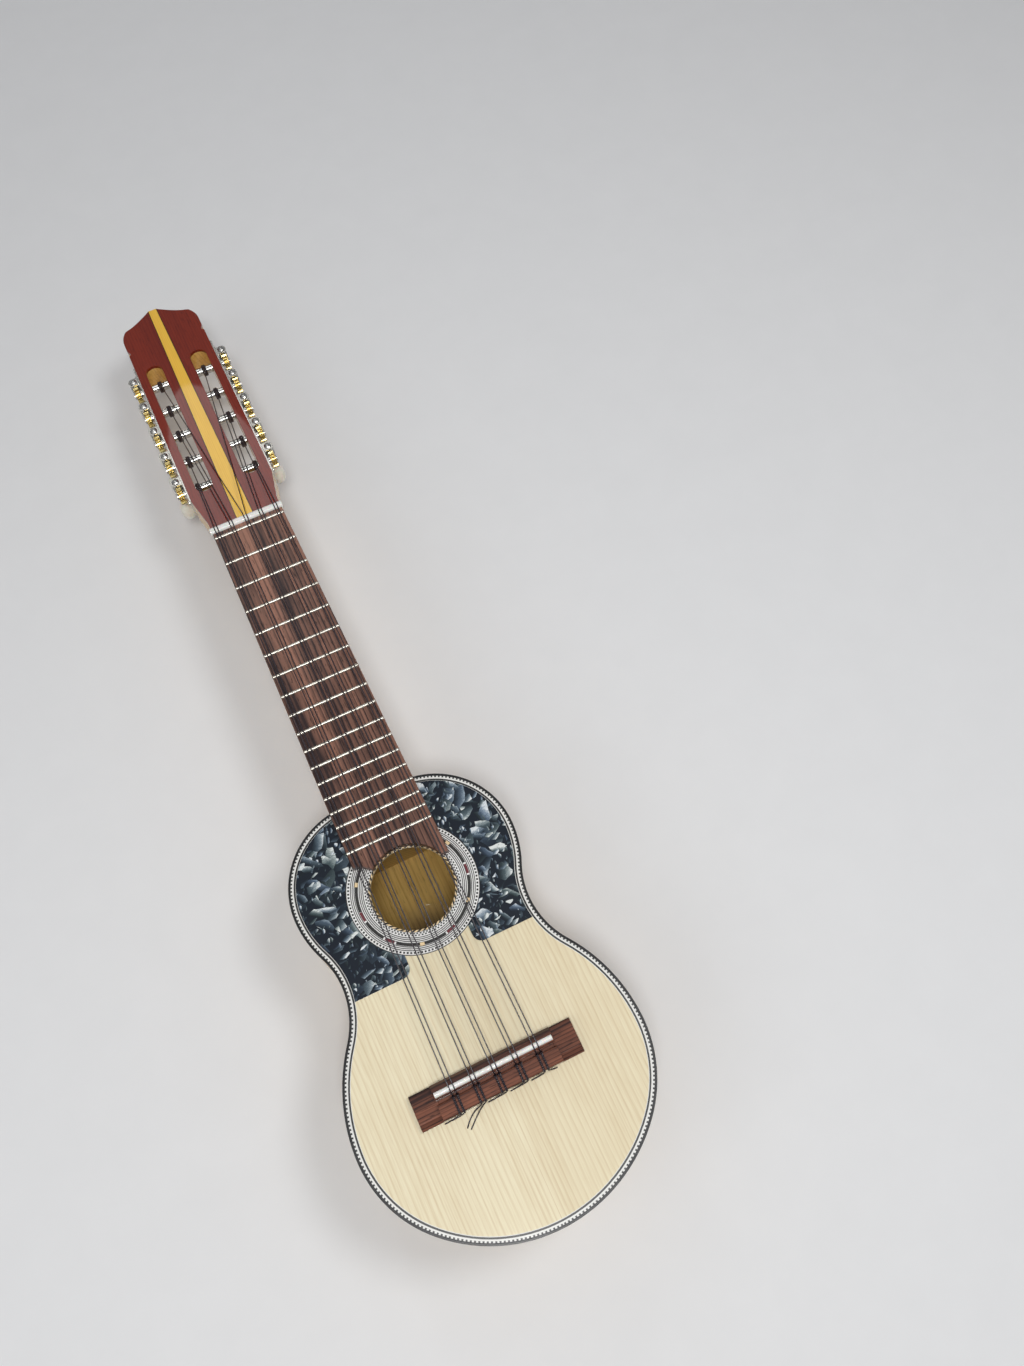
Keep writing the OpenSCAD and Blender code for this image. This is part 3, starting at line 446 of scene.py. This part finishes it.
def add_piece(name, verts, faces, material, body, slot_name, sharp=60):
    """A new mesh that rides on a body. Edges steeper than sharp degrees stay crisp."""
    mesh = bpy.data.meshes.new(name)
    mesh.from_pydata([tuple(v) for v in verts], [], faces)
    mesh.materials.append(material)
    bm = bmesh.new()
    bm.from_mesh(mesh)
    bmesh.ops.recalc_face_normals(bm, faces=bm.faces)
    for f in bm.faces:
        f.smooth = True
    for e in bm.edges:
        e.smooth = len(e.link_faces) == 2 and e.calc_face_angle(0.0) < math.radians(sharp)
    bm.to_mesh(mesh)
    bm.free()
    obj = bpy.data.objects.new(name, mesh)
    bpy.context.scene.collection.objects.link(obj)
    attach(obj, body)
    return obj


def solids_of(node):
    """The separate solids of a CAD node, each as (vertices, faces), welded."""
    bm = bmesh.new()
    bm.from_mesh(NODES[node].data)
    bmesh.ops.remove_doubles(bm, verts=bm.verts, dist=1e-7)
    bm.verts.ensure_lookup_table()
    seen, found = set(), []
    for start in bm.verts:
        if start.index in seen:
            continue
        seen.add(start.index)
        group, queue = [], [start]
        while queue:
            v = queue.pop()
            group.append(v)
            for e in v.link_edges:
                w = e.other_vert(v)
                if w.index not in seen:
                    seen.add(w.index)
                    queue.append(w)
        place = {v.index: i for i, v in enumerate(group)}
        faces = {f for v in group for f in v.link_faces}
        faces = sorted(faces, key=lambda f: f.index)
        found.append(([v.co.copy() for v in group],
                      [[place[v.index] for v in f.verts] for f in faces]))
    bm.free()
    return found


def extent(verts, axis):
    """How far a set of points reaches along one axis."""
    values = [v[axis] for v in verts]
    return max(values) - min(values)


def smooth_path(points, steps):
    """Catmull-Rom curve through the points, with this many steps between neighbours."""
    p = [points[0] * 2 - points[1], *points, points[-1] * 2 - points[-2]]
    out = []
    for a, b, c, d in zip(p, p[1:], p[2:], p[3:]):
        for i in range(steps):
            t = i / steps
            out.append(0.5 * (2 * b + (c - a) * t + (2 * a - 5 * b + 4 * c - d) * t * t
                              + (3 * b - a - 3 * c + d) * t ** 3))
    return [*out, points[-1]]


def tube(path, radius, sides=8):
    """Vertices and faces of a round tube with rounded-off ends, carried along a path."""
    tangents = [(path[min(i + 1, len(path) - 1)] - path[max(i - 1, 0)]).normalized()
                for i in range(len(path))]
    normal = tangents[0].orthogonal().normalized()
    verts, faces = [], []
    rings = [(path[0] - tangents[0] * radius * 0.5, tangents[0], radius * 0.5)]
    rings += [(p, t, radius) for p, t in zip(path, tangents)]
    rings += [(path[-1] + tangents[-1] * radius * 0.5, tangents[-1], radius * 0.5)]
    for centre, tangent, r in rings:
        normal = (normal - tangent * normal.dot(tangent)).normalized()
        other = tangent.cross(normal)
        for k in range(sides):
            a = 2 * math.pi * k / sides
            verts.append(centre + normal * (r * math.cos(a)) + other * (r * math.sin(a)))
    for i in range(len(rings) - 1):
        for k in range(sides):
            a, b = i * sides + k, i * sides + (k + 1) % sides
            faces.append((a, b, b + sides, a + sides))
    faces.append(tuple(range(sides))[::-1])
    last = (len(rings) - 1) * sides
    faces.append(tuple(range(last, last + sides)))
    return verts, faces


def lathe(profile, origin, axis, segments=40):
    """Vertices and faces of a (radius, height) profile in mm, turned round an axis."""
    side = axis.orthogonal().normalized()
    other = axis.cross(side)
    verts, faces = [], []
    for r, h in profile:
        for k in range(segments):
            a = 2 * math.pi * k / segments
            verts.append(origin + axis * (h * MM)
                         + (side * math.cos(a) + other * math.sin(a)) * (max(r, 1e-3) * MM))
    for i in range(len(profile) - 1):
        for k in range(segments):
            a, b = i * segments + k, i * segments + (k + 1) % segments
            faces.append((a, b, b + segments, a + segments))
    return verts, faces


def joined(parts):
    """The vertices and faces of several meshes as one."""
    verts, faces = [], []
    for v, f in parts:
        base = len(verts)
        verts += v
        faces += [[base + i for i in face] for face in f]
    return verts, faces


def edge_loops(node, z):
    """The closed loops of points round a node's flat top, longest first."""
    bm = bmesh.new()
    bm.from_mesh(NODES[node].data)
    bmesh.ops.remove_doubles(bm, verts=bm.verts, dist=1e-7)
    top = {f for f in bm.faces if all(abs(v.co.z - z) < 1e-6 for v in f.verts)}
    border = {}
    for e in bm.edges:
        if sum(f in top for f in e.link_faces) == 1:
            for v in e.verts:
                border.setdefault(v, []).append(e.other_vert(v))
    loops = []
    while border:
        start = next(iter(border))
        loop, here, before = [], start, None
        while here in border:
            loop.append(here.co.copy())
            ahead = [w for w in border.pop(here) if w is not before]
            before = here
            here = next((w for w in ahead if w in border), None)
        loops.append(loop)
    bm.free()
    return sorted(loops, key=loop_length, reverse=True)


def loop_length(loop):
    return sum((b - a).length for a, b in zip(loop, loop[1:] + loop[:1]))


def nearest_on(loop, p):
    """The point of a closed loop that is nearest to p."""
    best = None
    for a, b in zip(loop, loop[1:] + loop[:1]):
        ab = b - a
        t = max(0.0, min(1.0, (p - a).dot(ab) / max(ab.length_squared, 1e-18)))
        q = a + ab * t
        if best is None or (q - p).length_squared < best[0]:
            best = ((q - p).length_squared, q)
    return best[1]


def purfling():
    """The inlaid band round the soundboard, mapped along and across for its toothed lines."""
    low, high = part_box("purfling")
    outer, inner = edge_loops("purfling", high.z)[:2]
    rows, run = [], 0.0
    start = min(range(len(outer)), key=lambda i: outer[i].y + abs(outer[i].x))
    outer = outer[start:] + outer[:start]
    for i in range(len(outer) + 1):
        p = outer[i % len(outer)]
        if i:
            run += (p - outer[i - 1]).length / MM
        rows.append((p, nearest_on(inner, p), run))
    width = (rows[0][0] - rows[0][1]).length
    drop = Vector((0, 0, low.z - high.z))
    verts, faces = [], []
    for p, q, _ in rows:
        verts += [p, q, p + drop, q + drop]
    for a in range(0, 4 * (len(rows) - 1), 4):
        b = a + 4
        faces += [(a, a + 1, b + 1, b), (a + 2, b + 2, b + 3, a + 3), (a, b, b + 2, a + 2),
                  (a + 1, a + 3, b + 3, b + 1)]
    obj = add_piece("purfling_band", verts, faces, purfling_material(width), ROOT,
                    "purfling_band", sharp=40)
    layer = obj.data.uv_layers.new(name="along_across")
    for loop in obj.data.loops:
        row, corner = divmod(loop.vertex_index, 4)
        layer.data[loop.index].uv = (rows[row][2], corner % 2)
    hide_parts("purfling")


def head_direction():
    """Along the worm shafts, out of the head's face."""
    axis = next(j["axis"] for j in frame["joints"] if j["name"].startswith("knob_turn"))
    return Vector(axis).normalized()


HEAD_OUT = head_direction()
ROLLER_SLOTS = {"gear": (BRASS, "brass"), "screw": (STEEL, "steel"),
                "roller": (ROLLER_METAL, "roller_metal"), "winding": (NYLON, "black_nylon")}
# Least sizes in mm that tell a roller node's solids apart
ROLLER_WIDE, GEAR_TALL, WINDING_TALL = 15, 10, 7
# Turns of string: radius at the wire's middle, the wire's radius, and the sleeve under the turns
COIL_R, COIL_WIRE = 3.82 * MM, 0.36 * MM
COIL_PITCH = 2.05 * COIL_WIRE
COIL_STEPS = 20
SLEEVE_IN, SLEEVE_OUT, SLEEVE_EDGE = 2.9, 3.5, 0.1
CRISP_ANGLE = 32


def coil(centre_x, pivot, half_width):
    """Turns of string side by side round a roller."""
    turns = 2 * half_width * MM / COIL_PITCH
    steps = int(turns * COIL_STEPS)
    path = []
    for i in range(steps + 1):
        a = 2 * math.pi * turns * i / steps + math.pi / 2
        x = centre_x + (2 * i / steps - 1) * (half_width * MM - COIL_WIRE)
        path.append(Vector((x, pivot.y + COIL_R * math.cos(a), pivot.z + COIL_R * math.sin(a))))
    return tube(path, COIL_WIRE, 6)


def winding(verts, pivot):
    """The turns of string, and a sleeve under them, where the CAD's winding is."""
    middle = sum(v.x for v in verts) / len(verts)
    half = extent(verts, 0) / MM / 2
    profile = [(SLEEVE_IN, -half), (SLEEVE_OUT, -half + SLEEVE_EDGE),
               (SLEEVE_OUT, half - SLEEVE_EDGE), (SLEEVE_IN, half), (SLEEVE_IN, -half)]
    sleeve = lathe(profile, Vector((middle, pivot.y, pivot.z)), Vector((1, 0, 0)), 32)
    return joined([coil(middle, pivot, half), sleeve])


def roller_part(verts):
    """Which part of a roller node a solid is."""
    if extent(verts, 0) / MM > ROLLER_WIDE:
        return "roller"
    tall = extent(verts, 1) / MM
    if tall > GEAR_TALL:
        return "gear"
    return "winding" if tall > WINDING_TALL else "screw"


def tuners():
    """Each roller's solids as pieces with their own materials, and its knob."""
    joints = {j["name"]: Vector(j["pos_m"]) for j in frame["joints"]}
    for tag in TUNERS:
        pivot = joints[f"post_turn_{tag}"]
        for verts, faces in solids_of(f"roller_{tag}"):
            kind = roller_part(verts)
            material, slot_name = ROLLER_SLOTS[kind]
            if kind == "winding":
                verts, faces = winding(verts, pivot)
                add_piece(f"post_{tag}_{kind}", verts, faces, material,
                                      f"post_{tag}", slot_name)
            else:
                add_piece(f"post_{tag}_{kind}", verts, faces, material,
                                      f"post_{tag}", slot_name, sharp=CRISP_ANGLE)
        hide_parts(f"roller_{tag}")
        knob(tag, joints[f"knob_turn_{tag}"])


# Outlines as (radius, height) in mm: the button from its foot up, the rivet from its shaft's top
BUTTON_PROFILE = [
    (0.0, 17.2), (1.9, 17.2), (2.5, 16.9), (2.6, 16.2), (2.45, 15.6), (2.75, 15.2), (3.5, 14.6),
    (4.25, 13.4), (4.8, 11.8), (5.1, 9.8), (5.2, 7.6), (5.12, 5.4), (4.8, 3.4), (4.2, 1.8),
    (3.4, 0.8), (2.5, 0.3), (1.6, 0.15), (1.2, 0.35), (0.0, 0.4)]
BUTTON_LENGTH = BUTTON_PROFILE[0][1]
RIVET_PROFILE = [
    (0.0, -0.85), (1.45, -0.9), (2.35, -0.85), (2.5, -0.65), (2.4, -0.45), (1.85, -0.4),
    (1.7, -0.15), (1.25, 0.08), (0.6, 0.2), (0.0, 0.22)]


def reaches(node, pivot):
    """How far each point of a node lies from a pivot, out along the worm shafts."""
    return [(v.co - pivot).dot(HEAD_OUT) for v in NODES[node].data.vertices]


def knob(tag, pivot):
    """Button turned with a collar, and the riveted end of the worm's shaft."""
    body = f"knob_{tag}"
    button_reaches = reaches(f"button_{tag}", pivot)
    low, high = min(button_reaches), max(button_reaches)
    stretch = (high - low) / MM / BUTTON_LENGTH
    origin = pivot + HEAD_OUT * low
    profile = [(r, h * stretch) for r, h in BUTTON_PROFILE]
    button = add_piece(f"{body}_button", *lathe(profile[::-1], origin, HEAD_OUT), BUTTON, body,
                       "button_plastic")
    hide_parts(f"button_{tag}")
    top = max(reaches(f"worm_{tag}", pivot)) / MM
    rivet = [(r, top + h) for r, h in RIVET_PROFILE]
    add_piece(f"{body}_rivet", *lathe(rivet, pivot, HEAD_OUT, 32), STEEL, body, "steel")


# Strings, in mm: radius, spacing at the bridge, and where the CAD's rings of points are read
STRING_R = 0.35
COURSE_GAP, PAIR_GAP = 12.4, 2.5
TIED_END, RUN_START, RING_GAP, MATCH = 8, 7, 0.75, 0.9
# Loose ends behind the bridge, from the bass side. Two of them lie long on the soundboard.
TAIL_LENGTHS = (9.5, 7.5, 8.5, 10.0, 9.0, 11.0, 8.0, 9.5, 8.0, 5.0)
LONG_TAILS = (2, 3)
TWIST_STEPS = 24


def tie(x, index):
    """One string's knot: through the tie block, back over it, round itself and twisted."""
    front, back, top, hole = -9.0, -17.8, 7.4, 4.6
    axis_h, lay, twists = top + 2 * STRING_R + 0.05, STRING_R + 0.02, 3.0
    start = [(x, front + 0.3, hole), (x, -13.5, hole), (x, back - 0.1, hole),
             (x - 0.15, back - 0.55, hole + 0.7), (x - 0.3, back - 0.5, top - 0.6)]

    def strand(phase, forward):
        out = []
        for i in range(TWIST_STEPS + 1):
            t = i / TWIST_STEPS if forward else 1 - i / TWIST_STEPS
            a = math.pi * 2 * twists * t + phase
            y = back + 0.5 + (front - back - 0.9) * t
            droop = 0.55 * (max(0.0, 1 - t / 0.12) + max(0.0, 1 - (1 - t) / 0.12))
            out.append((x + lay * math.cos(a), y, axis_h - droop * 0.5 + lay * math.sin(a)))
        return out

    loop = [(x - 0.55, front + 0.15, top + 0.1), (x - 0.85, front + 0.55, 6.0),
            (x - 0.5, front + 0.75, 4.9), (x + 0.1, front + 1.2, 4.3),
            (x + 0.75, front + 0.9, 5.3), (x + 0.8, front + 0.5, 6.4),
            (x + 0.5, front + 0.1, top + 0.3)]
    tail_y = back - 0.75
    lean = -1 if index != 9 else 1
    length = TAIL_LENGTHS[index]
    tail = [(x + 0.3, back - 0.4, top - 0.5), (x + 0.25 * lean, tail_y, 5.2),
            (x + lean * 1.6, tail_y - 0.1, 3.6), (x + lean * 0.5 * length, tail_y - 0.2, 2.2),
            (x + lean * length, tail_y - 0.3, 1.2 + 0.15 * (index % 3))]
    if index in LONG_TAILS:
        reach = LONG_TAILS.index(index)
        tail = tail[:2] + [(x - 2.0, tail_y - 0.5, 3.2), (x - 5.5, back - 2.3 - reach, 1.4),
                           (x - 9.5, back - 5.2 - 1.2 * reach, 0.6),
                           (x - 12.0 - reach, back - 8.0 - 1.4 * reach, 0.45)]
    points = start + strand(math.pi, True) + loop + strand(0.0, False) + tail
    return [from_line(*p) for p in points]


def tied_x(verts):
    """Where across the bridge a string's tied end lies, in mm."""
    ends = [v.x for v in verts if v.y < LINE_Y - TIED_END * MM]
    return sum(ends) / len(ends) / MM


def strings():
    """Ten strings from their knots over the saddle and the nut to their rollers."""
    solids = solids_of("strings")
    parts = []
    for index in range(10):
        course, pair = divmod(index, 2)
        x = (course - 2) * COURSE_GAP + (pair - 0.5) * PAIR_GAP
        knot = tie(x, index)
        rest = next(v for v, _ in solids if abs(tied_x(v) - x) < MATCH)
        run = centres(rest)
        parts.append(tube(smooth_path(knot, 4), STRING_R * MM))
        parts.append(tube([knot[0], *run], STRING_R * MM))
    obj = add_piece("tied_strings", *joined(parts), NYLON, ROOT, "black_nylon")
    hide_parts("strings")


def centres(verts):
    """The middle of each ring of a swept string, from the saddle to the roller."""
    rings = []
    for v in sorted(verts, key=lambda v: v.y):
        if v.y < LINE_Y - RUN_START * MM:
            continue
        if rings and v.y - rings[-1][-1].y < RING_GAP * MM:
            rings[-1].append(v)
        else:
            rings.append([v])
    return [sum(r, Vector()) / len(r) for r in rings]


purfling()
tuners()
strings()

# ---- stage, light and camera ----

FLOOR_REACH = 3.0


def floor():
    size = FLOOR_REACH
    mesh = bpy.data.meshes.new("floor")
    mesh.from_pydata([(-size, -size, 0), (size, -size, 0), (size, size, 0), (-size, size, 0)],
                     [], [(0, 1, 2, 3)])
    obj = bpy.data.objects.new("floor", mesh)
    bpy.context.scene.collection.objects.link(obj)
    g = Graph("pale_floor")
    speck = g.noise(g.coords(), 30.0, 4.0, 0.6).outputs[0]
    g.set(Base_Color=g.mix(speck, (0.80, 0.80, 0.80), (0.84, 0.84, 0.84)), Roughness=0.9)
    mesh.materials.append(g.material)


def area_light(name, place, target, size, power):
    data = bpy.data.lights.new(name, "AREA")
    data.shape, data.size, data.size_y = "ELLIPSE", size[0], size[1]
    data.energy = power
    obj = bpy.data.objects.new(name, data)
    obj.location = place
    obj.rotation_euler = (Vector(target) - Vector(place)).to_track_quat("-Z", "Y").to_euler()
    bpy.context.scene.collection.objects.link(obj)


def camera():
    """The place and angle that the photograph was taken from, solved from the frets' rule."""
    data = bpy.data.cameras.new("camera")
    data.lens, data.sensor_width, data.clip_start = 30.98, 36.0, 0.01
    obj = bpy.data.objects.new("camera", data)
    right = Vector((0.90201, -0.43150, -0.01433)).normalized()
    forward = Vector((0.15824, 0.36129, -0.91893))
    forward = (forward - right * forward.dot(right)).normalized()
    up = right.cross(forward)
    obj.matrix_world = Matrix((
        (right.x, up.x, -forward.x, -0.00823),
        (right.y, up.y, -forward.y, -0.31696),
        (right.z, up.z, -forward.z, 0.74733),
        (0, 0, 0, 1)))
    bpy.context.scene.collection.objects.link(obj)
    bpy.context.scene.camera = obj


floor()
area_light("front", (-0.10, -0.55, 1.32), (0, -0.1, 0.08), (0.35, 0.35), 7.0)
area_light("key", (0.70, -0.30, 1.6), (0, -0.05, 0.05), (0.5, 0.5), 7.0)
area_light("fill", (-1.3, -0.5, 1.3), (0, 0, 0.05), (1.3, 1.1), 4.0)
area_light("head", (0.015, 1.20, 1.3), (0.015, 1.20, 0), (0.25, 1.30), 1.5)
world = bpy.data.worlds.new("studio")
world.use_nodes = True
background = world.node_tree.nodes["Background"]
background.inputs[0].default_value = (0.93, 0.95, 1.0, 1)
background.inputs[1].default_value = 0.24
bpy.context.scene.world = world
bpy.context.scene.view_settings.view_transform = "Standard"
camera()
